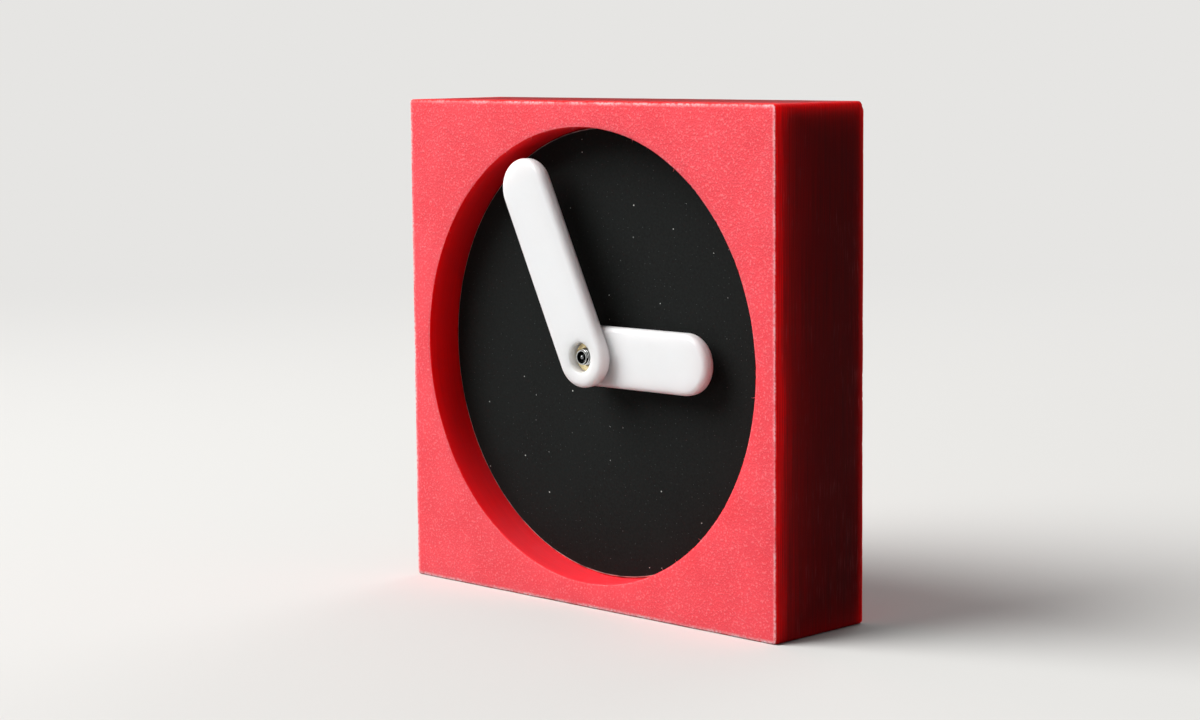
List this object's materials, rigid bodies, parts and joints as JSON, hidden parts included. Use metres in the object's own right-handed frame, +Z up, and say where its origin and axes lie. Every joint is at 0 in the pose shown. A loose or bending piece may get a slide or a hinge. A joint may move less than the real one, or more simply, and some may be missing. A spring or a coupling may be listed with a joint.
{
  "type": "block desk clock",
  "caption": "Square block desk clock: a thick translucent red plastic block with a round recess, black dial, two white bar hands and a quartz movement set into its back.",
  "frame": {"origin": "middle of the block's bottom face, on the plane that the clock stands on", "axes": "+Z up, front face towards -Y, +X to the right as seen from the front"},
  "size_m": [0.1, 0.0264, 0.1],
  "materials": {
    "red_plastic": "satin, fine orange-peel grain",
    "black_plate": "matte",
    "white_acrylic": "satin gloss",
    "brass": "turned",
    "plated_steel": "bright plated",
    "housing_plastic": "fine moulded texture",
    "white_nylon": "moulded",
    "soft_iron": "annealed, dull",
    "magnet": "sintered",
    "copper_wire": "enamelled winding",
    "circuit_board": "solder mask",
    "black_epoxy": "glossy drop",
    "battery_jacket": "printed film jacket, bare"
  },
  "bodies": {
    "case": {"case_block": "red_plastic", "dial_plate": "black_plate", "dial_nut": "brass", "threaded_bushing": "brass", "movement_front_case": "housing_plastic", "movement_rear_cover": "housing_plastic", "middle_plate": "housing_plastic", "train_bridge": "white_nylon", "bridge_screw_1": "plated_steel", "bridge_screw_2": "plated_steel", "bridge_screw_3": "plated_steel", "core_screw_1": "plated_steel", "core_screw_2": "plated_steel", "stator": "soft_iron", "coil_core": "soft_iron", "coil_bobbin": "white_nylon", "coil_winding": "copper_wire", "circuit_board": "circuit_board", "chip_cover": "black_epoxy", "quartz_crystal": "plated_steel", "positive_contact": "plated_steel", "negative_contact": "plated_steel"},
    "minute": {"minute_arbor": "plated_steel", "minute_hand": "white_acrylic", "minute_hand_bush": "brass", "clutch_spring": "plated_steel"},
    "hour": {"hour_wheel": "white_nylon", "hour_hand": "white_acrylic", "hour_hand_bush": "brass"},
    "motion": {"motion_wheel": "white_nylon"},
    "setting": {"setting_knob": "white_nylon"},
    "centre": {"centre_wheel": "brass"},
    "third": {"third_wheel": "brass"},
    "seconds": {"seconds_wheel": "plated_steel"},
    "fifth": {"fifth_wheel": "white_nylon"},
    "rotor": {"rotor_pinion": "white_nylon", "rotor_magnet": "magnet"},
    "battery": {"battery_cell": "battery_jacket"}
  },
  "joints": [
    {"name": "minute_turn", "type": "hinge", "parent": "case", "child": "minute", "pos_m": [0, -0.0127, 0.05], "axis": [0, 1, 0], "continuous": true},
    {"name": "hour_turn", "type": "hinge", "parent": "case", "child": "hour", "pos_m": [0, -0.0127, 0.05], "axis": [0, 1, 0], "continuous": true},
    {"name": "motion_turn", "type": "hinge", "parent": "case", "child": "motion", "pos_m": [-0.00614, -0.0127, 0.0457], "axis": [0, 1, 0], "continuous": true},
    {"name": "setting_turn", "type": "hinge", "parent": "case", "child": "setting", "pos_m": [-0.01353, -0.0127, 0.047], "axis": [0, 1, 0], "continuous": true},
    {"name": "seconds_turn", "type": "hinge", "parent": "case", "child": "seconds", "pos_m": [0, -0.0127, 0.05], "axis": [0, 1, 0], "continuous": true},
    {"name": "third_turn", "type": "hinge", "parent": "case", "child": "third", "pos_m": [-0.0051, -0.0127, 0.05883], "axis": [0, 1, 0], "continuous": true},
    {"name": "centre_turn", "type": "hinge", "parent": "case", "child": "centre", "pos_m": [0, -0.0127, 0.05], "axis": [0, 1, 0], "continuous": true},
    {"name": "fifth_turn", "type": "hinge", "parent": "case", "child": "fifth", "pos_m": [0.00509, -0.0127, 0.05509], "axis": [0, 1, 0], "continuous": true},
    {"name": "rotor_turn", "type": "hinge", "parent": "case", "child": "rotor", "pos_m": [0.01198, -0.0127, 0.05631], "axis": [0, 1, 0], "continuous": true},
    {"name": "battery_slide", "type": "slide", "parent": "case", "child": "battery", "axis": [0, 1, 0], "range_m": [0, 0.02]}
  ],
  "couplings": [
    {"joint": "motion_turn", "follows": "minute_turn", "ratio": -0.33333},
    {"joint": "hour_turn", "follows": "minute_turn", "ratio": 0.083333},
    {"joint": "setting_turn", "follows": "minute_turn", "ratio": 1},
    {"joint": "third_turn", "follows": "seconds_turn", "ratio": -0.13333},
    {"joint": "centre_turn", "follows": "seconds_turn", "ratio": 0.016667},
    {"joint": "fifth_turn", "follows": "seconds_turn", "ratio": -5},
    {"joint": "rotor_turn", "follows": "seconds_turn", "ratio": 30}
  ]
}
